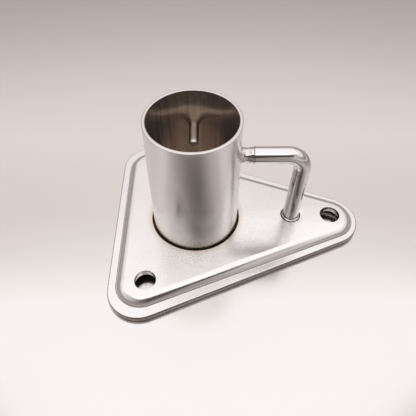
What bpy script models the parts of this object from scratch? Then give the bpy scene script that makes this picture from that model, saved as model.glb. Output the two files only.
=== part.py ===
"""Stanchion base for a boat's deck, in stainless steel.

A triangular plate is pressed up inside a flat rim. A socket tube for a 25 mm stanchion goes
through it, and so does the leg of a bent brace rod whose arm is welded to the tube. Both are
welded under the plate, in the hollow of the pressing. A screw through the back of the tube
holds the stanchion.

Metres, +Z up. The deck is z = 0, and the origin is under the middle of the plate. The plate's
straight edge is at -X and its apex at +X. The retaining screw is at +Y.
"""

import math

import bmesh
import bpy

MM = 0.001

# Pressed plate
PLATE_LENGTH = 82.5 * MM
PLATE_WIDTH = 73.3 * MM
CORNER_R = 10.1 * MM
SHEET = 2.0 * MM
EDGE_R = 0.4 * MM

# Raised middle of the plate, set in from the rim's straight edge, sides and tip
RIM_AT_EDGE = 2.5 * MM
RIM_AT_SIDE = 3.5 * MM
RIM_AT_TIP = 1.8 * MM
PRESS_CORNER_R = 8.1 * MM
PRESS_RISE = 2.8 * MM
STEP_RUN = 3.5 * MM

# Deck bolt holes, for 6 mm bolts
BOLT_HOLE_R = 3.3 * MM
HOLE_CHAMFER = 0.35 * MM
PAIR_FROM_EDGE = 11.9 * MM
PAIR_FROM_SIDE = 11.35 * MM
APEX_FROM_TIP = 9.6 * MM

# Socket tube
SOCKET_FROM_EDGE = 27.2 * MM
TUBE_R = 14.0 * MM
TUBE_WALL = 1.0 * MM
TUBE_STAND = 41.5 * MM
TUBE_TAIL = 2.0 * MM
TUBE_EDGE_R = 0.5 * MM
TUBE_MOUTH_R = 0.2 * MM
TUBE_CLEARANCE = 0.35 * MM

# Brace rod
BRACE_R = 2.6 * MM
BRACE_REACH = 32.24 * MM
BRACE_LEAN = 0.82 * MM
BRACE_RISE = 27.74 * MM
BRACE_BEND_R = 5.1 * MM
BRACE_TAIL = 1.9 * MM
BRACE_CLEARANCE = 0.7 * MM

# Weld beads
ARM_WELD_LENGTH = 3.6 * MM
ARM_WELD_FLARE = 0.15 * MM
ARM_WELD_WAIST = 0.25 * MM
FILLET_LEG = 1.7 * MM

# Retaining screw
SCREW_R = 1.5 * MM
SCREW_LENGTH = 10.0 * MM
SCREW_FROM_RIM = 13.2 * MM
SCREW_TIP_CHAMFER = 0.45 * MM
SCREW_HOLE_CLEARANCE = 0.3 * MM
HEAD_R = 2.8 * MM
HEAD_HEIGHT = 1.75 * MM
HEAD_RIM = 0.4 * MM
HEAD_FLAT_R = 1.5 * MM
HEX_ACROSS_FLATS = 2.0 * MM
HEX_DEPTH = 1.1 * MM

# Gap left between pieces that touch, and how far a cutter runs past what it cuts
SEAT = 0.3 * MM
OVERCUT = 1.0 * MM

# Facets
CORNER_STEPS = 14
STEP_STEPS = 6
EDGE_STEPS = 2
TUBE_SEGMENTS = 64
TUBE_EDGE_STEPS = 4
TUBE_MOUTH_STEPS = 2
SMALL_SEGMENTS = 32
BEND_STEPS = 10
BRACE_BEVEL_RESOLUTION = 6
WELD_STEPS = 8
FILLET_STEPS = 4
CROWN_STEPS = 6
HEX_SIDES = 6
MERGE_DISTANCE = 0.01 * MM
SHARP_DEG = 35.0

# Places that follow from the sizes above
EDGE_X = -PLATE_LENGTH / 2
APEX_X = PLATE_LENGTH / 2
PLATE_TOP = SHEET + PRESS_RISE
PLATE_UNDER = PRESS_RISE
SOCKET_X = EDGE_X + SOCKET_FROM_EDGE
TUBE_TOP = PLATE_TOP + TUBE_STAND
TUBE_BOTTOM = PLATE_UNDER - TUBE_TAIL
BRACE_X = SOCKET_X + BRACE_REACH
ARM_Z = PLATE_TOP + BRACE_RISE
ARM_START_X = SOCKET_X + TUBE_R + ARM_WELD_LENGTH
SCREW_Z = TUBE_TOP - SCREW_FROM_RIM
BOLT_PLACES = [
    (EDGE_X + PAIR_FROM_EDGE, -(PLATE_WIDTH / 2 - PAIR_FROM_SIDE)),
    (EDGE_X + PAIR_FROM_EDGE, PLATE_WIDTH / 2 - PAIR_FROM_SIDE),
    (APEX_X - APEX_FROM_TIP, 0.0),
]


def clear_scene():
    """Remove every object that the file opened with."""
    for item in list(bpy.data.objects):
        bpy.data.objects.remove(item, do_unlink=True)


def new_collection(name):
    """Add a collection under the scene's own."""
    collection = bpy.data.collections.new(name)
    bpy.context.scene.collection.children.link(collection)
    return collection


def steel(name, colour, roughness):
    """A stainless steel finish: bare metal with its own tone and polish."""
    material = bpy.data.materials.new(name)
    material.use_nodes = True
    shader = material.node_tree.nodes["Principled BSDF"]
    shader.inputs["Base Color"].default_value = (*colour, 1.0)
    shader.inputs["Roughness"].default_value = roughness
    shader.inputs["Metallic"].default_value = 1.0
    return material


def place(item, collection, material, parent=None):
    """Link an object, give it its finish and hang it under its parent."""
    collection.objects.link(item)
    item.parent = parent
    item.data.materials.append(material)
    return item


def place_cutter(item, collection):
    """Link a cutter, shown as wire and left out of renders."""
    collection.objects.link(item)
    item.display_type = "WIRE"
    item.hide_render = True
    return item


def cut(part, cutter):
    """Take the cutter's volume out of the part."""
    modifier = part.modifiers.new(cutter.name, "BOOLEAN")
    modifier.operation = "DIFFERENCE"
    modifier.object = cutter


def arc(centre, radius_u, radius_v, start_deg, end_deg, steps):
    """Points on an elliptical arc about a centre, in the plane of a profile."""
    points = []
    for step in range(steps + 1):
        angle = math.radians(start_deg + (end_deg - start_deg) * step / steps)
        u = centre[0] + radius_u * math.cos(angle)
        v = centre[1] + radius_v * math.sin(angle)
        points.append((u, v))
    return points


def turned(name, profile, segments, closed=False):
    """Turn a profile of (radius, height) points about Z. It runs top to bottom on its outer side."""
    mesh = bpy.data.meshes.new(name)
    count = len(profile)
    edges = [(index, index + 1) for index in range(count - 1)]
    if closed:
        edges.append((count - 1, 0))
    mesh.from_pydata([(radius, 0.0, height) for radius, height in profile], edges, [])
    item = bpy.data.objects.new(name, mesh)
    screw = item.modifiers.new("turn", "SCREW")
    screw.axis = "Z"
    screw.steps = segments
    screw.render_steps = segments
    screw.use_merge_vertices = True
    screw.merge_threshold = MERGE_DISTANCE
    screw.use_smooth_shade = True
    return item


def round_cutter(name, radius, bottom, top, segments, chamfer_at=None, chamfer=0.0):
    """A drill, with an optional 45 degree chamfer that opens upwards from a given height."""
    profile = [(0.0, top)]
    if chamfer_at is None:
        profile.append((radius, top))
    else:
        profile.append((radius + chamfer + top - chamfer_at, top))
        profile.append((radius, chamfer_at - chamfer))
    profile.append((radius, bottom))
    profile.append((0.0, bottom))
    return turned(name, profile, segments)


def rounded_triangle(edge_x, tip_x, half_width, radius):
    """Outline of three round corners joined by straights: an edge across X and a tip on the X axis."""
    centre_y = half_width - radius
    centre_x = edge_x + radius
    tip_centre_x = tip_x - radius
    side_deg = 90.0 - math.degrees(math.atan2(centre_y, tip_centre_x - centre_x))
    corners = [
        ((centre_x, -centre_y), 180.0, 360.0 - side_deg),
        ((tip_centre_x, 0.0), -side_deg, side_deg),
        ((centre_x, centre_y), side_deg, 180.0),
    ]
    points = []
    for centre, start_deg, end_deg in corners:
        points += arc(centre, radius, radius, start_deg, end_deg, CORNER_STEPS)
    return points


def plate_outline(inset):
    """The sheet's outline, drawn in by an inset."""
    return rounded_triangle(
        EDGE_X + inset,
        APEX_X - inset,
        PLATE_WIDTH / 2 - inset,
        CORNER_R - inset,
    )


def press_outline(inset):
    """The outline of the raised middle at its crease, drawn in by an inset."""
    return rounded_triangle(
        EDGE_X + RIM_AT_EDGE + inset,
        APEX_X - RIM_AT_TIP - inset,
        PLATE_WIDTH / 2 - RIM_AT_SIDE - inset,
        PRESS_CORNER_R - inset,
    )


def plate_rings():
    """The pressed sheet as rings of points, from the raised top, round the rim, to the underside.

    The step is a quarter round that meets the rim in a crease. Underneath, the sheet bends
    about that crease at its own thickness and then follows the step.
    """
    step = arc((STEP_RUN, SHEET), -STEP_RUN, PRESS_RISE, 90, 0, STEP_STEPS)
    top_edge = arc((EDGE_R, SHEET - EDGE_R), EDGE_R, EDGE_R, 90, 180, EDGE_STEPS)
    bottom_edge = arc((EDGE_R, EDGE_R), EDGE_R, EDGE_R, 180, 270, EDGE_STEPS)
    bend = arc((0.0, SHEET), SHEET, SHEET, -90, 0, STEP_STEPS)
    under_step = arc((STEP_RUN, SHEET), SHEET - STEP_RUN, PRESS_RISE - SHEET, 0, 90, STEP_STEPS)
    stages = [
        (press_outline, step),
        (plate_outline, top_edge + bottom_edge),
        (press_outline, bend + under_step[1:]),
    ]
    rings = []
    for outline, section in stages:
        for inset, height in section:
            rings.append([(x, y, height) for x, y in outline(inset)])
    return rings


def pressed_sheet(name):
    """Loft the plate through its rings and close the raised middle above and below."""
    shape = bmesh.new()
    rings = [[shape.verts.new(point) for point in ring] for ring in plate_rings()]
    count = len(rings[0])
    for upper, lower in zip(rings, rings[1:]):
        for index in range(count):
            after = (index + 1) % count
            shape.faces.new((upper[index], lower[index], lower[after], upper[after]))
    shape.faces.new(rings[0])
    shape.faces.new(reversed(rings[-1]))
    mesh = bpy.data.meshes.new(name)
    shape.to_mesh(mesh)
    shape.free()
    mesh.shade_smooth()
    mesh.set_sharp_from_angle(angle=math.radians(SHARP_DEG))
    return bpy.data.objects.new(name, mesh)


def brace_path():
    """Points (x, z) of the brace's centre line: the arm, a round bend, and the leaning leg."""
    lean = math.atan2(BRACE_LEAN, BRACE_RISE)
    turn = math.pi / 2 + lean
    bend_x = BRACE_X + BRACE_LEAN - BRACE_BEND_R * math.tan(turn / 2)
    centre = (bend_x, ARM_Z - BRACE_BEND_R)
    bend = arc(centre, BRACE_BEND_R, BRACE_BEND_R, 90, 90 - math.degrees(turn), BEND_STEPS)
    foot_z = PLATE_UNDER - BRACE_TAIL
    return [(ARM_START_X, ARM_Z)] + bend + [(brace_leg_x(foot_z), foot_z)]


def brace_leg_x(height):
    """Where the leaning leg's centre line is at a height."""
    return BRACE_X + (height - PLATE_TOP) * BRACE_LEAN / BRACE_RISE


def make_base_plate(parts, cutters, parent):
    """The pressed plate with its bolt holes and the holes that the tube and the brace go through."""
    plate = pressed_sheet("base_plate")
    place(plate, parts, steel("pressed_steel", (0.80, 0.78, 0.76), 0.30), parent)
    holes = [("bolt_hole_%d" % number, spot, BOLT_HOLE_R) for number, spot in enumerate(BOLT_PLACES)]
    holes.append(("brace_hole", (BRACE_X, 0.0), BRACE_R + BRACE_CLEARANCE))
    for name, (x, y), radius in holes:
        drill = round_cutter(
            name, radius, -OVERCUT, PLATE_TOP + OVERCUT, SMALL_SEGMENTS, PLATE_TOP, HOLE_CHAMFER
        )
        drill.location = (x, y, 0.0)
        cut(plate, place_cutter(drill, cutters))
    socket_hole = round_cutter(
        "socket_hole", TUBE_R + TUBE_CLEARANCE, -OVERCUT, PLATE_TOP + OVERCUT, TUBE_SEGMENTS
    )
    socket_hole.location = (SOCKET_X, 0.0, 0.0)
    cut(plate, place_cutter(socket_hole, cutters))


def make_socket_tube(parts, cutters, parent):
    """The open tube, with its upper edges rounded and the screw's hole in its back wall."""
    bore_r = TUBE_R - TUBE_WALL
    edge_centre = (TUBE_R - TUBE_EDGE_R, TUBE_TOP - TUBE_EDGE_R)
    outer_edge = arc(edge_centre, TUBE_EDGE_R, TUBE_EDGE_R, 90, 0, TUBE_EDGE_STEPS)
    mouth_centre = (bore_r + TUBE_MOUTH_R, TUBE_TOP - TUBE_MOUTH_R)
    mouth_edge = arc(mouth_centre, TUBE_MOUTH_R, TUBE_MOUTH_R, 180, 90, TUBE_MOUTH_STEPS)
    profile = outer_edge + [(TUBE_R, TUBE_BOTTOM), (bore_r, TUBE_BOTTOM)] + mouth_edge
    tube = turned("socket_tube", profile, TUBE_SEGMENTS, closed=True)
    tube.location = (SOCKET_X, 0.0, 0.0)
    place(tube, parts, steel("satin_tube_steel", (0.72, 0.70, 0.68), 0.28), parent)
    drill = round_cutter(
        "screw_hole", SCREW_R + SCREW_HOLE_CLEARANCE, bore_r - OVERCUT, TUBE_R + OVERCUT, SMALL_SEGMENTS
    )
    drill.location = (SOCKET_X, 0.0, SCREW_Z)
    drill.rotation_euler = (-math.pi / 2, 0.0, 0.0)
    cut(tube, place_cutter(drill, cutters))


def make_brace_rod(parts, parent):
    """The bent round rod."""
    curve = bpy.data.curves.new("brace_rod", "CURVE")
    curve.dimensions = "3D"
    curve.bevel_depth = BRACE_R
    curve.bevel_resolution = BRACE_BEVEL_RESOLUTION
    curve.use_fill_caps = True
    points = brace_path()
    spline = curve.splines.new("POLY")
    spline.points.add(len(points) - 1)
    for point, (x, z) in zip(spline.points, points):
        point.co = (x, 0.0, z, 1.0)
    spline.use_smooth = True
    rod = bpy.data.objects.new("brace_rod", curve)
    place(rod, parts, steel("polished_rod_steel", (0.82, 0.80, 0.78), 0.15), parent)


def make_brace_weld(parts, cutters, parent):
    """The bead between the tube's side and the rod's end, flared at the tube, waisted at the rod."""
    far_end = ARM_WELD_LENGTH - SEAT
    profile = [(0.0, far_end)]
    for step in range(WELD_STEPS + 1):
        share = step / WELD_STEPS
        height = far_end * (1.0 - share)
        waist = ARM_WELD_WAIST * (1.0 - share) * (1.0 + math.cos(2.0 * math.pi * share)) / 2.0
        flare = ARM_WELD_FLARE * share ** 3
        profile.append((BRACE_R - waist + flare, height))
    profile += [(BRACE_R + ARM_WELD_FLARE, -OVERCUT), (0.0, -OVERCUT)]
    weld = turned("brace_weld", profile, SMALL_SEGMENTS)
    weld.location = (SOCKET_X + TUBE_R, 0.0, ARM_Z)
    weld.rotation_euler = (0.0, math.pi / 2, 0.0)
    place(weld, parts, steel("weld_steel", (0.66, 0.62, 0.58), 0.32), parent)
    tube_side = round_cutter(
        "tube_side", TUBE_R + SEAT, ARM_Z - 2 * BRACE_R, ARM_Z + 2 * BRACE_R, 2 * TUBE_SEGMENTS
    )
    tube_side.location = (SOCKET_X, 0.0, 0.0)
    cut(weld, place_cutter(tube_side, cutters))


def make_under_weld(name, x, inner_r, segments, parts, parent):
    """A fillet bead in the corner between the plate's underside and what goes through it."""
    top = PLATE_UNDER - SEAT
    face = arc((inner_r, top), FILLET_LEG, -FILLET_LEG, 0, 90, FILLET_STEPS)
    profile = face + [(inner_r, top)]
    weld = turned(name, profile, segments, closed=True)
    weld.location = (x, 0.0, 0.0)
    place(weld, parts, steel(name + "_steel", (0.60, 0.56, 0.52), 0.40), parent)


def make_retaining_screw(parts, cutters, parent):
    """A button-headed machine screw with a hexagon socket, on an axis through the tube's back wall."""
    axis = bpy.data.objects.new("screw_axis", None)
    axis.location = (SOCKET_X, TUBE_R + SEAT, SCREW_Z)
    axis.rotation_euler = (-math.pi / 2, 0.0, 0.0)
    axis.parent = parent
    parts.objects.link(axis)
    crown_start = math.acos(HEAD_FLAT_R / HEAD_R)
    crown_rise = (HEAD_HEIGHT - HEAD_RIM) / math.sin(crown_start)
    crown = arc((0.0, HEAD_RIM), HEAD_R, crown_rise, math.degrees(crown_start), 0, CROWN_STEPS)
    profile = [(0.0, HEAD_HEIGHT)] + crown + [
        (HEAD_R, 0.0),
        (SCREW_R, 0.0),
        (SCREW_R, SCREW_TIP_CHAMFER - SCREW_LENGTH),
        (SCREW_R - SCREW_TIP_CHAMFER, -SCREW_LENGTH),
        (0.0, -SCREW_LENGTH),
    ]
    screw = turned("retaining_screw", profile, SMALL_SEGMENTS)
    place(screw, parts, steel("screw_steel", (0.75, 0.74, 0.72), 0.22), axis)
    hex_corner_r = HEX_ACROSS_FLATS / math.sqrt(3.0)
    key = round_cutter(
        "hex_socket", hex_corner_r, HEAD_HEIGHT - HEX_DEPTH, HEAD_HEIGHT + OVERCUT, HEX_SIDES
    )
    key.parent = axis
    cut(screw, place_cutter(key, cutters))


def main():
    """Build the stanchion base."""
    clear_scene()
    parts = new_collection("stanchion_base")
    cutters = new_collection("stanchion_base_cutters")
    origin = bpy.data.objects.new("stanchion_base_origin", None)
    parts.objects.link(origin)
    make_base_plate(parts, cutters, origin)
    make_socket_tube(parts, cutters, origin)
    make_brace_rod(parts, origin)
    make_brace_weld(parts, cutters, origin)
    make_under_weld("socket_weld", SOCKET_X, TUBE_R + SEAT, TUBE_SEGMENTS, parts, origin)
    foot_x = brace_leg_x(PLATE_UNDER - FILLET_LEG / 2)
    make_under_weld("brace_foot_weld", foot_x, BRACE_R + SEAT, SMALL_SEGMENTS, parts, origin)
    make_retaining_screw(parts, cutters, origin)
    bpy.context.view_layer.update()


main()
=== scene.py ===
"""Looks of the stanchion base: fine surfaces for its pieces, their finishes, floor, light and camera.

Metres, +Z up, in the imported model's own frame. The sizes of each piece come from the frame, and
the few that a box can't give are repeated here in millimetres.
"""

import math

import bpy
import numpy as np
from mathutils import Matrix, Vector


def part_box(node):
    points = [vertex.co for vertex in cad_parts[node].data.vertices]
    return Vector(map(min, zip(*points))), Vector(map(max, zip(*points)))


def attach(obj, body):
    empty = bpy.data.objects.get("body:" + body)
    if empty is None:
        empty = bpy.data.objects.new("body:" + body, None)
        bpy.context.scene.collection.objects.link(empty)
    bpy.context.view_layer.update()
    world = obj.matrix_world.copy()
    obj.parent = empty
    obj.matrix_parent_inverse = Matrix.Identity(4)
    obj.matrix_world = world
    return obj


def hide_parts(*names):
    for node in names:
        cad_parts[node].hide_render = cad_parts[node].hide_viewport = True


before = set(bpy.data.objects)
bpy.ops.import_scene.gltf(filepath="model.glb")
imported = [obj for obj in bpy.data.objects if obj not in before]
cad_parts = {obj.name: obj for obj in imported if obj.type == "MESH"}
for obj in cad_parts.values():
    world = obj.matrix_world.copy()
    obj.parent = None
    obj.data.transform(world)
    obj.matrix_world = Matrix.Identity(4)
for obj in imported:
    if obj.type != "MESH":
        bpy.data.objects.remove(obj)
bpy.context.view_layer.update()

MM = 0.001

# Places and sizes that the frame gives
PLATE_LOW, PLATE_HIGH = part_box("base_plate")
TUBE_LOW, TUBE_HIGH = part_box("socket_tube")
ROD_LOW, ROD_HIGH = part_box("brace_rod")
FOOT_LOW, FOOT_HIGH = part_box("brace_foot_weld")
SCREW_LOW, SCREW_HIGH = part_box("retaining_screw")
PLATE_TOP = PLATE_HIGH.z
SOCKET_X = (TUBE_LOW.x + TUBE_HIGH.x) / 2
TUBE_R = (TUBE_HIGH.x - TUBE_LOW.x) / 2
ROD_R = (ROD_HIGH.y - ROD_LOW.y) / 2
ARM_Z = ROD_HIGH.z - ROD_R
FOOT_X = (FOOT_LOW.x + FOOT_HIGH.x) / 2
SCREW_X = (SCREW_LOW.x + SCREW_HIGH.x) / 2
SCREW_Z = (SCREW_LOW.z + SCREW_HIGH.z) / 2
HEAD_R = (SCREW_HIGH.x - SCREW_LOW.x) / 2

# Pressed plate: sheet, corners, rim, step, crown and holes
SHEET = 2.0 * MM
CORNER_R = 10.1 * MM
EDGE_R = 0.45 * MM
RIM_AT_EDGE = 2.5 * MM
RIM_AT_SIDE = 3.5 * MM
RIM_AT_TIP = 1.8 * MM
PRESS_CORNER_R = 8.1 * MM
STEP_DEG = 70.0
CREASE_R = 0.3 * MM
CROWN = 0.75 * MM
CROWN_INNER = 0.2
BOLT_HOLE_R = 3.3 * MM
BOLT_EDGE_R = 0.35 * MM
BOLT_PAIR_X = -29.35 * MM
BOLT_PAIR_Y = 25.3 * MM
BOLT_APEX_X = 31.65 * MM
ROD_HOLE_X = 18.19 * MM
ROD_HOLE_R = 3.3 * MM
TUBE_HOLE_R = TUBE_R + 0.6 * MM
SMALL_EDGE_R = 0.15 * MM

# Socket tube
TUBE_WALL = 1.0 * MM
TUBE_EDGE_R = 0.3 * MM
TUBE_MOUTH_R = 0.2 * MM
BORE_R = TUBE_R - TUBE_WALL

# Brace rod
ROD_BEND_R = 5.1 * MM
ROD_LEAN = 0.82 / 27.74
ROD_END_CHAMFER = 0.15 * MM
BEND_FLAT = 0.03
COLLAR = 0.5 * MM
COLLAR_REACH = 0.22 * MM
COLLAR_SPAN = 4.0 * COLLAR_REACH

# Bead on the arm: how far it sinks in, its toe on the tube, its waist and its ripples
BEAD_SINK = 0.35 * MM
BEAD_TOE = 0.6 * MM
TOE_SHARE = 0.13
TOE_LOBES = 0.35
TOE_TURN = 0.6
BEAD_WAIST = 0.26 * MM
WAIST_AT = 0.55
WAIST_SHARE = 0.24
BEAD_RIPPLE = 0.05 * MM
BEAD_RIPPLES = 4.0
RIPPLE_TWIST = 7.0

# Fillets under the plate: leg, depth and lag of the ripples, unevenness round the bead
FILLET_LEG = 1.7 * MM
FILLET_RIPPLE = 0.10
FILLET_LAG = 0.25
FILLET_SWAY = 0.05
SOCKET_RIPPLES = 60
FOOT_RIPPLES = 14

# Retaining screw
SCREW_R = 1.5 * MM
THREAD_PITCH = 0.5 * MM
THREAD_DEPTH = 0.1 * MM
THREAD_POWER = 1.5
THREAD_START = 0.05 * MM
TIP_CHAMFER = 0.45 * MM
TIP_INNER_R = 0.3 * MM
HEAD_RIM = 0.4 * MM
HEAD_HEIGHT = 1.75 * MM
HEAD_FLAT_R = 1.5 * MM
HEAD_EDGE = 0.1 * MM
HEX_FLATS = 2.0 * MM
HEX_DEPTH = 1.1 * MM
HEX_CHAMFER = 0.12 * MM
HEX_DIMPLE = 0.2 * MM
HEX_DIMPLE_SHARE = 0.2

# Facets: steps along each curve, rows along each length and segments round each circle
CORNER_STEPS = 40
CROWN_RINGS = 17
STEP_STEPS = 18
CREASE_STEPS = 5
SHEET_EDGE_STEPS = 6
BEND_STEPS = 8
UNDER_STEPS = 12
HOLE_EDGE_STEPS = 6
HOLE_SEGMENTS = 96
TUBE_EDGE_STEPS = 8
TUBE_MOUTH_STEPS = 5
TUBE_ROWS = 44
TUBE_SEGMENTS = 160
DRILL_SEGMENTS = 48
ARM_ROWS = 12
ROD_BEND_ROWS = 33
LEG_ROWS = 16
COLLAR_ROWS = 31
ROD_SEGMENTS = 64
BEAD_ROWS = 36
BEAD_SEGMENTS = 72
FILLET_ROWS = 9
SOCKET_BEAD_SEGMENTS = 360
FOOT_BEAD_SEGMENTS = 168
HEAD_STEPS = 14
SHANK_ROWS = 210
SCREW_SEGMENTS = 72
CARD_ROWS = 41
CARD_COLUMNS = 97
SHARP_DEG = 32.0

# Where most of a noise pattern's values lie
NOISE_SPAN = (0.3, 0.7)

# Sockets of a Mix node by number: its share, two colours, two plain values and the mixed colour
SHARE, COLOUR_A, COLOUR_B, VALUE_A, VALUE_B, MIXED_COLOUR = 0, 6, 7, 2, 3, 2

# Floor: half its width, polish, and tones from before the plate to well behind it
FLOOR_HALF = 1.5
FLOOR_ROUGHNESS = 0.2
FLOOR_REACH = (-30.0 * MM, 130.0 * MM)
FLOOR_TONES = (
    (0.0, "#E5E2E0"), (0.1, "#D8D3D0"), (0.21, "#D5D0CD"), (0.47, "#E3DFDC"), (1.0, "#E0DCD9"),
)

# Cards that stand round the front, by degrees from it to the right: a dark one with a hump in its
# top, a low pale one before it whose top is given at several degrees, and a bright one above it
CARD_R = 104.0 * MM
DARK_DEG = (-80.0, 74.0)
DARK_TOP = 124.0 * MM
DARK_RIGHT_TOP = 118.0 * MM
DARK_RIGHT_DEG = (20.0, 28.0)
DARK_FOOT = 10.0 * MM
DARK_END_FOOT = 70.0 * MM
DARK_HUMP = 34.0 * MM
HUMP_AT = 5.0
HUMP_DEG = 9.0
PALE_R = 95.0 * MM
PALE_DEG = (-60.0, 70.0)
PALE_TOPS = ((14.0, 24.0, 40.0, 50.0), (32.0 * MM, 64.0 * MM, 64.0 * MM, 96.0 * MM))
PALE_FOOT = 1.0 * MM
BRIGHT_DEG = (-50.0, 50.0)
BRIGHT_TOP = 240.0 * MM
BRIGHT_GLOW = 1.6

# Their tones from left to right, by share of their circle's width
DARK_TONES = (
    (0.0, "#E6E0DE"), (0.06, "#DAD3D0"), (0.15, "#CBC4C1"), (0.27, "#A69D9A"), (0.4, "#756C6A"),
    (0.56, "#504846"), (0.71, "#443D3B"), (0.775, "#4E4644"), (0.86, "#756D6A"), (0.94, "#B0A8A5"),
    (1.0, "#D5CECB"),
)
PALE_TONES = ((0.6, "#968E8B"), (0.72, "#AAA29F"), (0.86, "#DAD3D1"), (1.0, "#E4DDDB"))
BRIGHT_TONES = ((0.0, "#FFFDFD"), (1.0, "#FFFDFD"))

# Shares of their height and width over which they fade to clear, at the top, the foot and the ends
DARK_FADES = (0.05, 0.25, 0.12)
PALE_FADES = (0.15, 0.4, 0.2)
BRIGHT_FADES = (0.6, 0.05, 0.3)

# Light from all round: strength, and tones by height from the horizon to overhead
SKY_STRENGTH = 1.22
SKY_TONES = (
    (0.0, "#CEC8C6"), (0.07, "#B6AEAC"), (0.15, "#88807E"), (0.2, "#88807E"), (0.34, "#9C9492"),
    (0.45, "#C2BAB8"), (0.55, "#E6DFDD"), (0.72, "#EAE4E2"), (0.79, "#FFFDFD"), (1.0, "#FFFDFD"),
)

# How directions are scaled before their height is read, so that the panel overhead is longer along X
PANEL_STRETCH = (0.8, 1.1, 1.0)

# Where the camera stands, and its axes, from the fit to the tube's ellipses
CAMERA_AT = Vector((-10.73, -100.081, 127.746)) * MM
CAMERA_RIGHT = Vector((0.99994479, -0.01042946, -0.00128407))
CAMERA_UP = Vector((0.00881275, 0.76576726, 0.64305742))
CAMERA_BACK = Vector((-0.00572344, -0.64303323, 0.76581689))
CAMERA_SENSOR = 36.0
CAMERA_LENS = 40.29
CAMERA_NEAR = 10.0 * MM


# Meshes


def grid_faces(rows, columns, close_rows=False, close_columns=False):
    """Quads between neighbouring points of a grid, whose last row or column may join the first."""
    index = np.arange(rows * columns).reshape(rows, columns)
    if close_rows:
        index = np.vstack([index, index[:1]])
    if close_columns:
        index = np.hstack([index, index[:, :1]])
    corners = [index[:-1, :-1], index[1:, :-1], index[1:, 1:], index[:-1, 1:]]
    return np.stack(corners, axis=-1).reshape(-1, 4)


def surface(name, points, close_rows=False, close_columns=True, caps=True):
    """A mesh from a grid of points, with an optional flat cap on its first and last row.

    Rows run so that, seen from outside, each one is anticlockwise and the next lies below it.
    """
    rows, columns = points.shape[:2]
    faces = grid_faces(rows, columns, close_rows, close_columns).tolist()
    if caps and not close_rows:
        faces.append(np.arange(columns).tolist())
        faces.append(np.arange((rows - 1) * columns, rows * columns)[::-1].tolist())
    mesh = bpy.data.meshes.new(name)
    mesh.from_pydata(points.reshape(-1, 3).tolist(), [], faces)
    mesh.update()
    item = bpy.data.objects.new(name, mesh)
    bpy.context.scene.collection.objects.link(item)
    return item


def arc(centre, radius_u, radius_v, start_deg, end_deg, steps):
    """Points (u, v) on an elliptical arc.

    They are the centre plus the first radius times the cosine, and the second times the sine, of
    even angles.
    """
    angle = np.radians(np.linspace(start_deg, end_deg, steps + 1))
    u = centre[0] + radius_u * np.cos(angle)
    v = centre[1] + radius_v * np.sin(angle)
    return np.stack([u, v], axis=-1)


def full_turn(segments):
    """Even angles round a circle, as one row."""
    return np.linspace(0.0, 2.0 * np.pi, segments, endpoint=False)[None, :]


def lathe(profile, segments, centre=(0.0, 0.0)):
    """A profile of (radius, height) turned about Z.

    Its points are radius times cosine, radius times sine, and height, at even angles. These start
    half a step from X, so that no point lies on another outline's point.
    """
    angle = (np.arange(segments) + 0.5) * 2.0 * np.pi / segments
    radius, height = profile[:, :1], profile[:, 1:]
    x = centre[0] + radius * np.cos(angle)
    y = centre[1] + radius * np.sin(angle)
    return np.stack([x, y, np.broadcast_to(height, x.shape)], axis=-1)


def cut(item, cutters):
    """Take the cutters' volumes out of a piece for good, and remove the cutters."""
    for cutter in cutters:
        modifier = item.modifiers.new(cutter.name, "BOOLEAN")
        modifier.operation = "DIFFERENCE"
        modifier.object = cutter
    depsgraph = bpy.context.evaluated_depsgraph_get()
    mesh = bpy.data.meshes.new_from_object(item.evaluated_get(depsgraph))
    item.modifiers.clear()
    item.data = mesh
    for cutter in cutters:
        bpy.data.objects.remove(cutter, do_unlink=True)


def finish_piece(item, body, node, material):
    """Shade a piece, give it its finish, and let it stand for its node on its body."""
    item.data.shade_smooth()
    item.data.set_sharp_from_angle(angle=math.radians(SHARP_DEG))
    item.data.materials.clear()
    item.data.materials.append(material)
    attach(item, body)
    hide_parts(node)


# Pressed plate


def rounded_triangle(edge_x, tip_x, half_width, radius):
    """Outline of three round corners joined by straights: an edge across X and a tip on the X axis."""
    centre_y = half_width - radius
    centre_x = edge_x + radius
    tip_centre_x = tip_x - radius
    side_deg = 90.0 - math.degrees(math.atan2(centre_y, tip_centre_x - centre_x))
    near = arc((centre_x, -centre_y), radius, radius, 180.0, 360.0 - side_deg, CORNER_STEPS)
    tip = arc((tip_centre_x, 0.0), radius, radius, -side_deg, side_deg, CORNER_STEPS)
    far = arc((centre_x, centre_y), radius, radius, side_deg, 180.0, CORNER_STEPS)
    return np.vstack([near, tip, far])


def plate_ring(inset, height):
    """The sheet's outer outline, drawn in by an inset, at a height."""
    flat = rounded_triangle(
        PLATE_LOW.x + inset, PLATE_HIGH.x - inset, PLATE_HIGH.y - inset, CORNER_R - inset
    )
    return np.column_stack([flat, np.full(len(flat), height)])


def press_ring(inset, height):
    """The crease at the foot of the raised middle, drawn in by an inset, at a height."""
    flat = rounded_triangle(
        PLATE_LOW.x + RIM_AT_EDGE + inset,
        PLATE_HIGH.x - RIM_AT_TIP - inset,
        PLATE_HIGH.y - RIM_AT_SIDE - inset,
        PRESS_CORNER_R - inset,
    )
    return np.column_stack([flat, np.full(len(flat), height)])


def crown_rings(inset, height, shares):
    """Rings of a slightly domed face: an outline shrunk towards the tube's axis, to each share.

    The height rises from the outline to the middle as a parabola of the share.
    """
    outline = press_ring(inset, height)
    middle = np.array([SOCKET_X, 0.0, height])
    share = shares[:, None, None]
    rings = middle + (outline - middle) * share
    rings[..., 2] = height + CROWN * (1.0 - share[..., 0] ** 2)
    return rings


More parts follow.
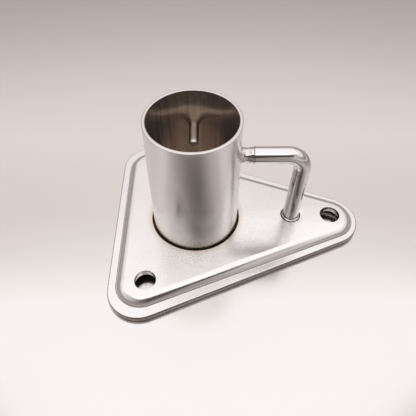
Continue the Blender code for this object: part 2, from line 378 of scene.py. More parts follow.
def hole_cutter(name, x, y, radius, edge_r):
    """A drill that widens upwards in a quarter round, which ends at the CAD plate's flat top."""
    flare = arc((radius + edge_r, PLATE_TOP - edge_r), -edge_r, edge_r, 90.0, 0.0, HOLE_EDGE_STEPS)
    top = [[radius + edge_r, PLATE_TOP + CROWN]]
    profile = np.vstack([top, flare, [[radius, -edge_r]]])
    return surface(name, lathe(profile, HOLE_SEGMENTS, (x, y)))


def make_plate():
    """The pressed sheet: one section carried round the plate's outlines, with its holes cut.

    The step is a round that leaves the top level and steepens outwards to its foot, where a small
    hollow round turns it into the rim. Both keep their centres on the underside, one sheet away.
    """
    crest = PLATE_TOP - CROWN / 2
    rise = crest - SHEET
    foot_deg = 90.0 - STEP_DEG
    step_r = rise / (1.0 - math.sin(math.radians(foot_deg)))
    run = step_r * math.cos(math.radians(foot_deg))
    step_at = (run, crest - step_r)
    crease_at = (-CREASE_R * math.tan(math.radians(STEP_DEG / 2)), SHEET + CREASE_R)
    bend_r = CREASE_R + SHEET
    step = arc(step_at, -step_r, step_r, 90.0, foot_deg, STEP_STEPS)[:-1]
    crease = arc(crease_at, CREASE_R, CREASE_R, -foot_deg, -90.0, CREASE_STEPS)
    top_edge = arc((EDGE_R, SHEET - EDGE_R), EDGE_R, EDGE_R, 90.0, 180.0, SHEET_EDGE_STEPS)
    bottom_edge = arc((EDGE_R, EDGE_R), EDGE_R, EDGE_R, 180.0, 270.0, SHEET_EDGE_STEPS)
    bend = arc(crease_at, bend_r, bend_r, -90.0, -foot_deg, BEND_STEPS)
    under = arc(step_at, SHEET - step_r, step_r - SHEET, foot_deg, 90.0, UNDER_STEPS)
    inwards = np.linspace(1.0, CROWN_INNER, CROWN_RINGS)[1:]
    rings = [*crown_rings(run, crest, inwards[::-1])]
    rings += [press_ring(inset, height) for inset, height in np.vstack([step, crease])]
    rings += [plate_ring(inset, height) for inset, height in np.vstack([top_edge, bottom_edge])]
    rings += [press_ring(inset, height) for inset, height in np.vstack([bend, under[1:]])]
    rings += [*crown_rings(run, crest - SHEET, inwards)]
    plate = surface("plate", np.stack(rings))
    holes = [
        hole_cutter("hole_right", BOLT_PAIR_X, -BOLT_PAIR_Y, BOLT_HOLE_R, BOLT_EDGE_R),
        hole_cutter("hole_left", BOLT_PAIR_X, BOLT_PAIR_Y, BOLT_HOLE_R, BOLT_EDGE_R),
        hole_cutter("hole_apex", BOLT_APEX_X, 0.0, BOLT_HOLE_R, BOLT_EDGE_R),
        hole_cutter("hole_rod", ROD_HOLE_X, 0.0, ROD_HOLE_R, SMALL_EDGE_R),
        hole_cutter("hole_tube", SOCKET_X, 0.0, TUBE_HOLE_R, SMALL_EDGE_R),
    ]
    cut(plate, holes)
    even = plate.modifiers.new("even_flats", "WEIGHTED_NORMAL")
    even.mode = "FACE_AREA"
    even.keep_sharp = True
    return plate


# Socket tube


def make_tube():
    """The tube: a closed wall section turned about its axis, with the screw's hole in its back."""
    top, bottom = TUBE_HIGH.z, TUBE_LOW.z
    edge_at = (TUBE_R - TUBE_EDGE_R, top - TUBE_EDGE_R)
    mouth_at = (BORE_R + TUBE_MOUTH_R, top - TUBE_MOUTH_R)
    edge = arc(edge_at, TUBE_EDGE_R, TUBE_EDGE_R, 90.0, 0.0, TUBE_EDGE_STEPS)
    mouth = arc(mouth_at, TUBE_MOUTH_R, TUBE_MOUTH_R, 180.0, 90.0, TUBE_MOUTH_STEPS)
    heights = np.linspace(edge[-1, 1], bottom, TUBE_ROWS)[1:]
    outside = np.column_stack([np.full(len(heights), TUBE_R), heights])
    inside = np.column_stack([np.full(len(heights), BORE_R), heights[::-1]])
    profile = np.vstack([edge, outside, inside, mouth])
    tube = surface("tube", lathe(profile, TUBE_SEGMENTS, (SOCKET_X, 0.0)), close_rows=True)
    ends = np.array([[SCREW_R, TUBE_R + TUBE_WALL], [SCREW_R, BORE_R - TUBE_WALL]])
    drill = lathe(ends, DRILL_SEGMENTS)
    x, y, z = drill[..., 0], drill[..., 1], drill[..., 2]
    along_y = np.stack([SCREW_X + x, z, SCREW_Z - y], axis=-1)
    cut(tube, [surface("drill", along_y)])
    return tube


# Brace rod


def rod_line():
    """The rod's centre line in XZ, as points, headings and shares of the bend.

    It is a straight arm, a round bend and a straight leaning leg. The arm's end has two extra
    points for its chamfer, and the leg has more points near the plate.
    """
    turn = math.pi / 2 + math.atan(ROD_LEAN)
    corner_x = ROD_HOLE_X + (ARM_Z - PLATE_TOP) * ROD_LEAN
    bend_x = corner_x - ROD_BEND_R * math.tan(turn / 2)
    arm_x = np.linspace(ROD_LOW.x + ROD_END_CHAMFER, bend_x, ARM_ROWS)[:-1]
    arm_x = np.concatenate([[ROD_LOW.x, ROD_LOW.x], arm_x])
    arm = np.column_stack([arm_x, np.full(len(arm_x), ARM_Z)])
    angle = np.linspace(0.0, turn, ROD_BEND_ROWS)
    drop = ROD_BEND_R * (1.0 - np.cos(angle))
    bend = np.column_stack([bend_x + ROD_BEND_R * np.sin(angle), ARM_Z - drop])
    collar_z = PLATE_TOP + COLLAR_SPAN
    upper_z = np.linspace(bend[-1, 1], collar_z, LEG_ROWS)[1:]
    lower_z = np.linspace(collar_z, ROD_LOW.z, COLLAR_ROWS)[1:]
    leg_z = np.concatenate([upper_z, lower_z])
    leg = np.column_stack([ROD_HOLE_X + (leg_z - PLATE_TOP) * ROD_LEAN, leg_z])
    heading = np.concatenate([np.zeros(len(arm)), angle, np.full(len(leg), turn)])
    bent = np.concatenate([np.zeros(len(arm)), np.sin(np.pi * angle / turn), np.zeros(len(leg))])
    return np.vstack([arm, bend, leg]), heading, bent


def make_rod():
    """The rod: a circle carried along its centre line.

    Its radius is the bar's, less a chamfer at the arm's end, plus a collar at the foot that is a
    bell curve of the height above the plate. In the bend it is a little flat outside and wide across.
    """
    line, heading, bent = rod_line()
    height = (line[:, 1] - PLATE_TOP) / COLLAR_REACH
    radius = ROD_R + COLLAR * np.exp(-(height ** 2))
    radius[:2] = ROD_R / 2, ROD_R - ROD_END_CHAMFER
    angle = full_turn(ROD_SEGMENTS)
    outward, across = np.cos(angle), np.sin(angle)
    flat = 1.0 - BEND_FLAT * bent[:, None] * np.clip(outward, 0.0, 1.0) ** 2
    wide = 1.0 + BEND_FLAT / 2 * bent[:, None]
    offset = radius[:, None] * outward * flat
    x = line[:, :1] + offset * np.sin(heading)[:, None]
    y = -radius[:, None] * across * wide
    z = line[:, 1:] + offset * np.cos(heading)[:, None]
    return surface("rod", np.stack([x, y, z], axis=-1)[::-1])


# Weld beads


def make_arm_weld():
    """The bead on the arm: rings about the arm's axis from inside the tube's wall to inside the rod.

    Each ring's radius is the rod's, plus a lobed toe that dies away from the tube, less a waist
    at the middle, plus slight ripples that run round the bead.
    """
    angle = full_turn(BEAD_SEGMENTS)
    share = np.linspace(0.0, 1.0, BEAD_ROWS)[:, None]
    lobes = 1.0 + TOE_LOBES * np.sin(2.0 * angle + TOE_TURN)
    toe = BEAD_TOE * np.exp(-share / TOE_SHARE) * lobes
    waist = BEAD_WAIST * np.exp(-(((share - WAIST_AT) / WAIST_SHARE) ** 2))
    wave = np.sin(BEAD_RIPPLES * angle + RIPPLE_TWIST * share)
    ripple = BEAD_RIPPLE * wave * np.sin(np.pi * share)
    radius = ROD_R - ROD_END_CHAMFER / 2 + toe - waist + ripple
    y = -radius * np.sin(angle)
    z = ARM_Z + radius * np.cos(angle)
    wall_x = SOCKET_X + np.sqrt((TUBE_R - BEAD_SINK) ** 2 - y[:1] ** 2)
    x = wall_x + (ROD_LOW.x + BEAD_SINK - wall_x) * share
    return surface("arm_weld", np.stack([x, y, z], axis=-1)[::-1])


def fillet_bead(name, x, inner_r, ripples, segments):
    """A fillet under the plate: a section turned about Z whose face steps in and out in even ripples.

    The section is a quarter round in the corner between the plate's underside and the wall.
    """
    angle = full_turn(segments)
    top = PLATE_TOP - SHEET
    face = np.linspace(0.0, np.pi / 2, FILLET_ROWS)[:, None]
    phase = (ripples * angle / (2.0 * np.pi) + FILLET_LAG * np.sin(face * 2.0)) % 1.0
    leg = FILLET_LEG * (1.0 - FILLET_RIPPLE * phase ** 2 - FILLET_SWAY * np.sin(3.0 * angle))
    radius = inner_r + leg * np.cos(face)
    height = top - leg * np.sin(face)
    wall_r = np.full_like(angle, inner_r - BEAD_SINK)
    top_z = np.full_like(angle, top + BEAD_SINK / 2)
    radius = np.vstack([radius[:1], radius, wall_r])
    height = np.vstack([top_z, height, height[-1:]])
    points = np.stack([x + radius * np.cos(angle), radius * np.sin(angle), height], axis=-1)
    return surface(name, points, close_rows=True)


# Retaining screw


def make_screw():
    """The screw about its own axis: a head, a shank whose radius follows a helix, a chamfered tip.

    Across a turn the thread's depth is a rounded wave of the height over the pitch, less the
    angle's share of a turn. The socket's radius is the hexagon's at each angle.
    """
    angle = full_turn(SCREW_SEGMENTS)
    under_head = SCREW_HIGH.y - HEAD_HEIGHT
    length = under_head - SCREW_LOW.y
    start = math.acos(HEAD_FLAT_R / HEAD_R)
    rise = (HEAD_HEIGHT - HEAD_RIM) / math.sin(start)
    crown = arc((0.0, HEAD_RIM), HEAD_R, rise, math.degrees(start), 0.0, HEAD_STEPS)
    sector = (angle + np.pi / 6) % (np.pi / 3) - np.pi / 6
    hexagon = (HEX_FLATS / 2) / np.cos(sector)
    socket = np.vstack([HEX_DIMPLE_SHARE * hexagon, hexagon, hexagon, hexagon + HEX_CHAMFER])
    socket_floor = HEAD_HEIGHT - HEX_DEPTH
    mouth_z = HEAD_HEIGHT - HEX_CHAMFER
    socket_z = np.array([socket_floor - HEX_DIMPLE, socket_floor, mouth_z, HEAD_HEIGHT])
    turned_r = np.concatenate([crown[:, 0], [HEAD_R - HEAD_EDGE, SCREW_R]])
    turned_z = np.concatenate([crown[:, 1], [0.0, 0.0]])
    shank_z = np.linspace(-THREAD_START, TIP_CHAMFER - length, SHANK_ROWS)
    helix = shank_z[:, None] / THREAD_PITCH - angle / (2.0 * np.pi)
    wave = (1.0 + np.cos(2.0 * np.pi * helix)) / 2.0
    shank = SCREW_R - THREAD_DEPTH * wave ** THREAD_POWER
    tip_r = np.array([[SCREW_R - TIP_CHAMFER], [TIP_INNER_R]]) + 0.0 * angle
    tip_z = np.array([-length, -length])
    radius = np.vstack([socket, turned_r[:, None] + 0.0 * angle, shank, tip_r])
    height = np.concatenate([socket_z, turned_z, shank_z, tip_z])[:, None] + 0.0 * angle
    x = SCREW_X + radius * np.cos(angle)
    z = SCREW_Z - radius * np.sin(angle)
    return surface("screw", np.stack([x, under_head + height, z], axis=-1))


# Finishes


def tone(code):
    """Linear colour of an sRGB hex value."""
    channels = np.array([int(code[place:place + 2], 16) for place in (1, 3, 5)]) / 255.0
    linear = np.where(channels <= 0.04045, channels / 12.92, ((channels + 0.055) / 1.055) ** 2.4)
    return (*linear.tolist(), 1.0)


def add(tree, kind, values=None, links=None, stops=(), **settings):
    """Add a node with its settings, ramp stops, socket values and the sources that feed its sockets.

    A source is a socket, or a node whose first output is meant.
    """
    node = tree.nodes.new(kind)
    for name, value in settings.items():
        setattr(node, name, value)
    for number, (position, code) in enumerate(stops):
        ramp = node.color_ramp.elements
        stop = ramp[number] if number < len(ramp) else ramp.new(position)
        stop.position, stop.color = position, tone(code)
    for name, value in (values or {}).items():
        node.inputs[name].default_value = value
    for name, source in (links or {}).items():
        output = source.outputs[0] if isinstance(source, bpy.types.Node) else source
        tree.links.new(output, node.inputs[name])
    return node


def per_metre(millimetres):
    """Texture scale whose features are about this many millimetres across."""
    return 1.0 / (millimetres * MM)


def spread(low, high, to_low, to_high):
    """Socket values that carry one range over to another."""
    return {"From Min": low, "From Max": high, "To Min": to_low, "To Max": to_high}


def metal(name):
    """A bare metal: its material, node tree, shader and the Object coordinates that patterns read."""
    material = bpy.data.materials.new(name)
    material.use_nodes = True
    tree = material.node_tree
    shader = tree.nodes["Principled BSDF"]
    shader.inputs["Metallic"].default_value = 1.0
    place = add(tree, "ShaderNodeTexCoord").outputs["Object"]
    return material, tree, shader, place


def steel(name, dark, light):
    """A stainless steel whose tone drifts between two near colours over about 9 mm."""
    material, tree, shader, place = metal(name)
    drift = add(tree, "ShaderNodeTexNoise", {"Scale": per_metre(9.0), "Detail": 3.0}, {"Vector": place})
    tones = {COLOUR_A: tone(dark), COLOUR_B: tone(light)}
    colour = add(tree, "ShaderNodeMix", tones, {SHARE: drift.outputs["Fac"]}, data_type="RGBA")
    return material, tree, shader, place, colour.outputs[MIXED_COLOUR]


def overlaid(tree, colour, colour_layers):
    """A metal's own colour with layers laid over it in turn, each by its share at every point: stains,
    and on the sheet and the bar painted shade.
    """
    for share, code in colour_layers:
        sources = {SHARE: share, COLOUR_A: colour}
        layer = add(tree, "ShaderNodeMix", {COLOUR_B: tone(code)}, sources, data_type="RGBA")
        colour = layer.outputs[MIXED_COLOUR]
    return colour


def pebbled_sheet():
    """Stainless sheet, pressed and then tumbled with grit.

    Tumbling leaves a pebbled satin on the flats, with a few fine scratches. The press tool rubs
    the step smoother, so it mirrors more sharply. The weld beneath tints the steel round the tube.
    Painted shade greys a thin line along the crease. Painted contact shadow darkens the edge and
    underside below the rim, partly standing for the sheared edge's own duller tone.
    """
    material, tree, shader, place, colour = steel("tumbled_stainless_sheet", "#E6E3E2", "#ECEAE9")
    height = add(tree, "ShaderNodeSeparateXYZ", links={"Vector": place}).outputs["Z"]
    # The real pebbles are about 0.05 mm, drawn at 0.4 mm so that they show
    pebble = add(tree, "ShaderNodeTexNoise", {"Scale": per_metre(0.4), "Detail": 3.0}, {"Vector": place})
    pebbles = pebble.outputs["Fac"]
    satin = add(tree, "ShaderNodeMapRange", spread(*NOISE_SPAN, 0.22, 0.31), {"Value": pebbles})
    below = spread(PLATE_TOP - 0.5 * MM, PLATE_TOP - 0.05 * MM, 1.0, 0.0)
    below_crest = add(tree, "ShaderNodeMapRange", below, {"Value": height})
    above = spread(SHEET + 0.05 * MM, SHEET + 0.3 * MM, 0.0, 1.0)
    above_rim = add(tree, "ShaderNodeMapRange", above, {"Value": height})
    on_step = add(tree, "ShaderNodeMath", links={0: below_crest, 1: above_rim}, operation="MULTIPLY")
    gloss = add(
        tree, "ShaderNodeMix", {VALUE_B: 0.17}, {SHARE: on_step, VALUE_A: satin}, data_type="FLOAT"
    )
    # Scratches up to 12 mm long and about 0.3 mm apart, drawn ten times wider than real ones
    slant = {"Rotation": (0.0, 0.0, 0.5), "Scale": (0.025, 1.0, 1.0)}
    lay = add(tree, "ShaderNodeMapping", slant, {"Vector": place})
    lines = add(tree, "ShaderNodeTexNoise", {"Scale": per_metre(0.3), "Detail": 2.0}, {"Vector": lay})
    few = spread(0.64, 0.76, 0.0, 0.09)
    scratch = add(tree, "ShaderNodeMapRange", few, {"Value": lines.outputs["Fac"]})
    rough = add(tree, "ShaderNodeMath", links={0: gloss, 1: scratch}, operation="ADD")
    # Heat from the weld beneath, round the tube
    flat = {"Location": (-SOCKET_X, 0.0, 0.0), "Scale": (1.0, 1.0, 0.0)}
    centred = add(tree, "ShaderNodeMapping", flat, {"Vector": place})
    out = add(tree, "ShaderNodeVectorMath", links={0: centred}, operation="LENGTH").outputs["Value"]
    near_tube = spread(TUBE_HOLE_R, TUBE_HOLE_R + 2.0 * MM, 0.6, 0.0)
    heat = add(tree, "ShaderNodeMapRange", near_tube, {"Value": out})
    # Painted shade: a thin dark line along the crease, and painted contact shadow on the sheet's edge
    # and underside below the rim, partly the sheared edge's own duller tone
    crease_low = spread(SHEET + 0.02 * MM, SHEET + 0.08 * MM, 0.0, 1.0)
    in_crease = add(tree, "ShaderNodeMapRange", crease_low, {"Value": height})
    crease_high = spread(SHEET + 0.1 * MM, SHEET + 0.3 * MM, 1.0, 0.0)
    past_crease = add(tree, "ShaderNodeMapRange", crease_high, {"Value": height})
    crease_shade = add(tree, "ShaderNodeMath", links={0: in_crease, 1: past_crease}, operation="MULTIPLY")
    below_rim = spread(SHEET - 0.15 * MM, SHEET - 0.02 * MM, 1.0, 0.0)
    edge_shade = add(tree, "ShaderNodeMapRange", below_rim, {"Value": height})
    # The heat tint is a stain; the crease line and the darker edge are painted shade
    colour_layers = ((heat, "#CFBAA2"), (crease_shade, "#A59C99"), (edge_shade, "#908783"))
    pebbly = {"Strength": 0.6, "Distance": 0.02 * MM}
    relief = add(tree, "ShaderNodeBump", pebbly, {"Height": pebbles})
    tree.links.new(overlaid(tree, colour, colour_layers), shader.inputs["Base Color"])
    tree.links.new(rough.outputs[0], shader.inputs["Roughness"])
    tree.links.new(relief.outputs[0], shader.inputs["Normal"])
    return material


def satin_tube():
    """Drawn stainless tube, tumbled to a satin.

    The satin is a fine mottle, a little longer down the tube than round it. The bore keeps the dull
    brown skin of drawing and welding heat, with streaks down it. The arm's weld leaves a straw halo.
    """
    material, tree, shader, place, colour = steel("satin_stainless_tube", "#E2DEDC", "#E8E5E3")
    # The real mottle is about 0.05 mm, drawn at 0.35 mm so that it shows
    lay = add(tree, "ShaderNodeMapping", {"Scale": (1.0, 1.0, 0.4)}, {"Vector": place})
    mottle = add(tree, "ShaderNodeTexNoise", {"Scale": per_metre(0.35), "Detail": 3.0}, {"Vector": lay})
    mottles = mottle.outputs["Fac"]
    satin = add(tree, "ShaderNodeMapRange", spread(*NOISE_SPAN, 0.235, 0.265), {"Value": mottles})
    flat = {"Location": (-SOCKET_X, 0.0, 0.0), "Scale": (1.0, 1.0, 0.0)}
    centred = add(tree, "ShaderNodeMapping", flat, {"Vector": place})
    out = add(tree, "ShaderNodeVectorMath", links={0: centred}, operation="LENGTH").outputs["Value"]
    near_bore = spread(BORE_R + 0.03 * MM, BORE_R + 0.15 * MM, 1.0, 0.0)
    bore = add(tree, "ShaderNodeMapRange", near_bore, {"Value": out})
    rough = add(
        tree, "ShaderNodeMix", {VALUE_B: 0.21}, {SHARE: bore, VALUE_A: satin}, data_type="FLOAT"
    )
    bare = add(tree, "ShaderNodeMapRange", spread(0.0, 1.0, 1.0, 0.94), {"Value": bore})
    # Heat from the arm's weld
    spot = (SOCKET_X + TUBE_R, 0.0, ARM_Z)
    away = add(tree, "ShaderNodeVectorMath", {1: spot}, {0: place}, operation="DISTANCE")
    near_arm = spread(ROD_R, ROD_R + 3.0 * MM, 0.5, 0.0)
    heat = add(tree, "ShaderNodeMapRange", near_arm, {"Value": away.outputs["Value"]})
    # Streaks about 0.9 mm wide and 20 mm long
    down = add(tree, "ShaderNodeMapping", {"Scale": (1.0, 1.0, 0.04)}, {"Vector": place})
    streaks = add(tree, "ShaderNodeTexNoise", {"Scale": per_metre(0.9), "Detail": 3.0}, {"Vector": down})
    browns = {COLOUR_A: tone("#AC9C8E"), COLOUR_B: tone("#FFF7F0")}
    skin = add(tree, "ShaderNodeMix", browns, {SHARE: streaks.outputs["Fac"]}, data_type="RGBA")
    sources = {
        SHARE: bore,
        COLOUR_A: overlaid(tree, colour, ((heat, "#C9B4A2"),)),
        COLOUR_B: skin.outputs[MIXED_COLOUR],
    }
    whole = add(tree, "ShaderNodeMix", links=sources, data_type="RGBA")
    slight = {"Strength": 0.03, "Distance": 0.02 * MM}
    relief = add(tree, "ShaderNodeBump", slight, {"Height": mottles})
    tree.links.new(whole.outputs[MIXED_COLOUR], shader.inputs["Base Color"])
    tree.links.new(bare.outputs[0], shader.inputs["Metallic"])
    tree.links.new(rough.outputs[0], shader.inputs["Roughness"])
    tree.links.new(relief.outputs[0], shader.inputs["Normal"])
    return material


def buffed_bar():
    """Stainless round bar, buffed by hand.

    It is close to a mirror, in slight waves. Painted shade darkens a line next to the weld, and
    painted shade darkens the underside of the arm as far as the bend.
    """
    material, tree, shader, place, colour = steel("buffed_stainless_bar", "#E2DFDE", "#E9E7E6")
    # The buff's marks are about 0.02 mm, drawn at 0.5 mm so that they show
    grit = add(tree, "ShaderNodeTexNoise", {"Scale": per_metre(0.5), "Detail": 4.0}, {"Vector": place})
    grits = grit.outputs["Fac"]
    gloss = add(tree, "ShaderNodeMapRange", spread(*NOISE_SPAN, 0.08, 0.17), {"Value": grits})
    axes = add(tree, "ShaderNodeSeparateXYZ", links={"Vector": place})
    # Painted shade: a dark line on the rod next to the weld
    near_weld = spread(ROD_LOW.x + 0.2 * MM, ROD_LOW.x + 0.6 * MM, 0.65, 0.0)
    line = add(tree, "ShaderNodeMapRange", near_weld, {"Value": axes.outputs["X"]})
    # Painted shade on the arm's underside, fading out past the bend
    low = spread(ARM_Z - ROD_R, ARM_Z - 0.5 * ROD_R, 1.0, 0.0)
    beneath = add(tree, "ShaderNodeMapRange", low, {"Value": axes.outputs["Z"]})
    past_arm = spread(ROD_HOLE_X - ROD_BEND_R, ROD_HOLE_X, 0.95, 0.15)
    on_arm = add(tree, "ShaderNodeMapRange", past_arm, {"Value": axes.outputs["X"]})
    dull = add(tree, "ShaderNodeMath", links={0: beneath, 1: on_arm}, operation="MULTIPLY")
    colour_layers = ((line, "#8F8280"), (dull, "#756C69"))
    # Waves of the hand's buffing, about 2 mm long, under the fine grit
    waves = add(tree, "ShaderNodeTexNoise", {"Scale": per_metre(2.2), "Detail": 1.0}, {"Vector": place})
    wave_depth = {"Strength": 0.25, "Distance": 0.05 * MM}
    wavy = add(tree, "ShaderNodeBump", wave_depth, {"Height": waves.outputs["Fac"]})
    grit_depth = {"Strength": 0.05, "Distance": 0.02 * MM}
    relief = add(tree, "ShaderNodeBump", grit_depth, {"Height": grits, "Normal": wavy})
    tree.links.new(overlaid(tree, colour, colour_layers), shader.inputs["Base Color"])
    tree.links.new(gloss.outputs[0], shader.inputs["Roughness"])
    tree.links.new(relief.outputs[0], shader.inputs["Normal"])
    return material


def blended_weld():
    """A weld in stainless wire, ground and buffed.

    It is bright and uneven, with brown heat tint left in its hollows.
    """
    material, tree, shader, place, colour = steel("buffed_weld", "#D8CFCB", "#E6E0DD")
    # Lumps about 1 mm across, as the pools of a hand weld set
    lump = add(tree, "ShaderNodeTexNoise", {"Scale": per_metre(1.1), "Detail": 2.0}, {"Vector": place})
    lumps = lump.outputs["Fac"]
    gloss = add(tree, "ShaderNodeMapRange", spread(*NOISE_SPAN, 0.08, 0.18), {"Value": lumps})
    heat = add(tree, "ShaderNodeMapRange", spread(0.5, 0.7, 0.0, 0.45), {"Value": lumps})
    lumpy = {"Strength": 0.3, "Distance": 0.08 * MM}
    relief = add(tree, "ShaderNodeBump", lumpy, {"Height": lumps})
    tree.links.new(overlaid(tree, colour, ((heat, "#A98F80"),)), shader.inputs["Base Color"])
    tree.links.new(gloss.outputs[0], shader.inputs["Roughness"])
    tree.links.new(relief.outputs[0], shader.inputs["Normal"])
    return material


def scaly_weld():
    """A weld in stainless wire, only wire-brushed.

    It keeps a dull grey-brown scale with straw and blue-grey patches.
    """
    material, tree, shader, place, colour = steel("wire_brushed_weld", "#9C8E83", "#C0B6AE")
    # Flakes of scale are about 0.1 mm, drawn at 0.4 mm so that they show
    scale = add(tree, "ShaderNodeTexNoise", {"Scale": per_metre(0.4), "Detail": 4.0}, {"Vector": place})
    scales = scale.outputs["Fac"]
    dull = add(tree, "ShaderNodeMapRange", spread(*NOISE_SPAN, 0.3, 0.5), {"Value": scales})
    # Patches of heat tint, about 3 mm across
    patch = add(tree, "ShaderNodeTexNoise", {"Scale": per_metre(3.0), "Detail": 2.0}, {"Vector": place})
    patches = patch.outputs["Fac"]
    straw = add(tree, "ShaderNodeMapRange", spread(0.52, 0.66, 0.0, 0.7), {"Value": patches})
    blue = add(tree, "ShaderNodeMapRange", spread(0.46, 0.34, 0.0, 0.6), {"Value": patches})
    colour_layers = ((straw, "#C2A070"), (blue, "#7E8494"))
    scaled = {"Strength": 0.5, "Distance": 0.02 * MM}
    relief = add(tree, "ShaderNodeBump", scaled, {"Height": scales})
    tree.links.new(overlaid(tree, colour, colour_layers), shader.inputs["Base Color"])
    tree.links.new(dull.outputs[0], shader.inputs["Roughness"])
    tree.links.new(relief.outputs[0], shader.inputs["Normal"])
    return material


def dulled_screw():
    """A rolled stainless screw.

    Its shank is a darker brown, and it is lighter at its tip and its head.
    """
    material, tree, shader, place, colour = steel("dulled_stainless_screw", "#C4BEB9", "#D2CDC9")
    # The rolling's marks are about 0.03 mm, drawn at 0.3 mm so that they show
    grit = add(tree, "ShaderNodeTexNoise", {"Scale": per_metre(0.3), "Detail": 3.0}, {"Vector": place})
    grits = grit.outputs["Fac"]
    gloss = add(tree, "ShaderNodeMapRange", spread(*NOISE_SPAN, 0.2, 0.32), {"Value": grits})
    along = add(tree, "ShaderNodeSeparateXYZ", links={"Vector": place}).outputs["Y"]
    in_bore = spread(SCREW_LOW.y + 0.5 * MM, SCREW_LOW.y + 1.2 * MM, 0.0, 1.0)
    past_tip = add(tree, "ShaderNodeMapRange", in_bore, {"Value": along})
    under_head = SCREW_HIGH.y - HEAD_HEIGHT
    to_head = spread(under_head - 1.0 * MM, under_head, 1.0, 0.0)
    before_head = add(tree, "ShaderNodeMapRange", to_head, {"Value": along})
    shank = add(tree, "ShaderNodeMath", links={0: past_tip, 1: before_head}, operation="MULTIPLY")
    gritty = {"Strength": 0.1, "Distance": 0.02 * MM}
    relief = add(tree, "ShaderNodeBump", gritty, {"Height": grits})
    tree.links.new(overlaid(tree, colour, ((shank, "#998A80"),)), shader.inputs["Base Color"])
    tree.links.new(gloss.outputs[0], shader.inputs["Roughness"])
    tree.links.new(relief.outputs[0], shader.inputs["Normal"])
    return material


# Floor, light and camera


def make_floor():
    """A wide pale floor of satin steel sheet, which mirrors the light softly, with a tone by Y."""
    half = FLOOR_HALF
    corners = [[[-half, half, 0.0], [half, half, 0.0]], [[-half, -half, 0.0], [half, -half, 0.0]]]
    floor = surface("floor", np.array(corners), close_columns=False, caps=False)
    material, tree, shader, place = metal("satin_steel_floor")
    shader.inputs["Roughness"].default_value = FLOOR_ROUGHNESS
    along = add(tree, "ShaderNodeSeparateXYZ", links={"Vector": place}).outputs["Y"]
    reach = add(tree, "ShaderNodeMapRange", spread(*FLOOR_REACH, 0.0, 1.0), {"Value": along})
    ramp = add(tree, "ShaderNodeValToRGB", links={"Fac": reach}, stops=FLOOR_TONES)
    tree.links.new(ramp.outputs["Color"], shader.inputs["Base Color"])
    floor.data.materials.append(material)


def soft_span(share, first, last):
    """Cover along a span: a straight rise from nothing at its start, and a straight fall at its end."""
    return np.clip(share / first, 0.0, 1.0) * np.clip((1.0 - share) / last, 0.0, 1.0)


def make_card(name, radius, angle, foot, top, tones, fades, strength=1.0):
    """A glowing card bent round the front and seen only in reflections.

    A grid on a circle about the tube's axis: each angle from the front, and even heights from the
    top to the foot at that angle. Its edges fade to clear, so that no outline of it shows on the floor.
    """
    share = np.linspace(0.0, 1.0, CARD_ROWS)[:, None]
    x = SOCKET_X + radius * np.sin(np.radians(angle)) + 0.0 * share
    y = -radius * np.cos(np.radians(angle)) + 0.0 * share
    z = top + (foot - top) * share + 0.0 * angle
    card = surface(name, np.stack([x, y, z], axis=-1), close_columns=False, caps=False)
    top_fade, foot_fade, end_fade = fades
    ends = soft_span(np.linspace(0.0, 1.0, CARD_COLUMNS)[None, :], end_fade, end_fade)
    cover = card.data.attributes.new("cover", "FLOAT", "POINT")
    cover.data.foreach_set("value", (soft_span(share, top_fade, foot_fade) * ends).ravel())
    material = bpy.data.materials.new(name)
    material.use_nodes = True
    tree = material.node_tree
    tree.nodes.clear()
    place = add(tree, "ShaderNodeTexCoord").outputs["Object"]
    across = add(tree, "ShaderNodeSeparateXYZ", links={"Vector": place}).outputs["X"]
    width = spread(SOCKET_X - radius, SOCKET_X + radius, 0.0, 1.0)
    part = add(tree, "ShaderNodeMapRange", width, {"Value": across})
    ramp = add(tree, "ShaderNodeValToRGB", links={"Fac": part}, stops=tones)
    glow = add(tree, "ShaderNodeEmission", {"Strength": strength}, {"Color": ramp})
    clear = add(tree, "ShaderNodeBsdfTransparent")
    shown = add(tree, "ShaderNodeAttribute", attribute_name="cover").outputs["Fac"]
    faded = add(tree, "ShaderNodeMixShader", links={0: shown, 1: clear, 2: glow})
    add(tree, "ShaderNodeOutputMaterial", links={"Surface": faded})
    card.data.materials.append(material)
    card.visible_camera = False
    card.visible_shadow = False
    card.visible_diffuse = False


def dark_top(angle):
    """Height of the dark card's top edge: level, a slope down at the right, and a bell-shaped hump."""
    start, end = DARK_RIGHT_DEG
    right = np.clip((angle - start) / (end - start), 0.0, 1.0)
    hump = DARK_HUMP * np.exp(-(((angle - HUMP_AT) / HUMP_DEG) ** 2))
    return DARK_TOP + (DARK_RIGHT_TOP - DARK_TOP) * right + hump


def make_cards():
    """The dark card, whose foot rises as a parabola to its ends, the pale card and the bright card.

    The pale card's top runs in straight lines between given heights. The bright card stands on the
    dark card's top edge.
    """
    angle = np.linspace(*DARK_DEG, CARD_COLUMNS)[None, :]
    foot = DARK_FOOT + (DARK_END_FOOT - DARK_FOOT) * (angle / DARK_DEG[0]) ** 2
    make_card("dark_card", CARD_R, angle, foot, dark_top(angle), DARK_TONES, DARK_FADES)
    angle = np.linspace(*PALE_DEG, CARD_COLUMNS)[None, :]
    top = np.interp(angle, *PALE_TOPS)
    make_card("pale_card", PALE_R, angle, PALE_FOOT, top, PALE_TONES, PALE_FADES)
    angle = np.linspace(*BRIGHT_DEG, CARD_COLUMNS)[None, :]
    foot = dark_top(angle)
    make_card("bright_card", CARD_R, angle, foot, BRIGHT_TOP, BRIGHT_TONES, BRIGHT_FADES, BRIGHT_GLOW)


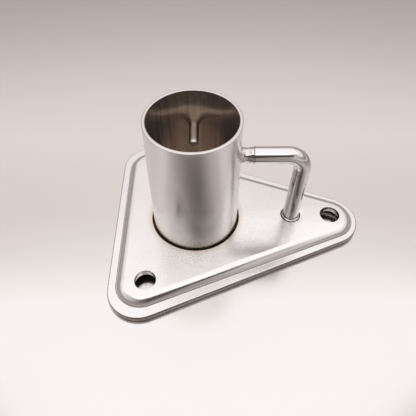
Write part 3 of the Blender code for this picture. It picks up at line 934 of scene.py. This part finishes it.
def light_scene():
    """A soft dome: a white panel overhead, walls that darken downwards, and a pale horizon."""
    world = bpy.data.worlds.new("studio")
    bpy.context.scene.world = world
    world.use_nodes = True
    tree = world.node_tree
    tree.nodes.clear()
    way = add(tree, "ShaderNodeTexCoord").outputs["Generated"]
    long = add(tree, "ShaderNodeVectorMath", {1: PANEL_STRETCH}, {0: way}, operation="MULTIPLY")
    unit = add(tree, "ShaderNodeVectorMath", links={0: long}, operation="NORMALIZE")
    height = add(tree, "ShaderNodeSeparateXYZ", links={"Vector": unit}).outputs["Z"]
    ramp = add(tree, "ShaderNodeValToRGB", links={"Fac": height}, stops=SKY_TONES)
    back = add(tree, "ShaderNodeBackground", {"Strength": SKY_STRENGTH}, {"Color": ramp})
    add(tree, "ShaderNodeOutputWorld", links={"Surface": back})


def place_camera():
    """The camera at the photograph's viewing angle, from the fit to the tube's ellipses."""
    data = bpy.data.cameras.new("camera")
    camera = bpy.data.objects.new("camera", data)
    bpy.context.scene.collection.objects.link(camera)
    turn = Matrix((CAMERA_RIGHT, CAMERA_UP, CAMERA_BACK)).transposed().to_4x4()
    camera.matrix_world = Matrix.Translation(CAMERA_AT) @ turn
    data.sensor_width = CAMERA_SENSOR
    data.lens = CAMERA_LENS
    data.clip_start = CAMERA_NEAR
    bpy.context.scene.camera = camera


def main():
    """Make the pieces, the floor, the light and the camera."""
    finish_piece(make_plate(), "base", "base_plate", pebbled_sheet())
    finish_piece(make_tube(), "base", "socket_tube", satin_tube())
    finish_piece(make_rod(), "base", "brace_rod", buffed_bar())
    finish_piece(make_arm_weld(), "base", "brace_weld", blended_weld())
    under_steel = scaly_weld()
    socket_bead = fillet_bead(
        "socket_weld_bead", SOCKET_X, TUBE_R, SOCKET_RIPPLES, SOCKET_BEAD_SEGMENTS
    )
    finish_piece(socket_bead, "base", "socket_weld", under_steel)
    foot_bead = fillet_bead("foot_weld_bead", FOOT_X, ROD_R, FOOT_RIPPLES, FOOT_BEAD_SEGMENTS)
    finish_piece(foot_bead, "base", "brace_foot_weld", under_steel)
    finish_piece(make_screw(), "screw", "retaining_screw", dulled_screw())
    make_floor()
    make_cards()
    light_scene()
    place_camera()
    bpy.context.scene.view_settings.view_transform = "Standard"


main()
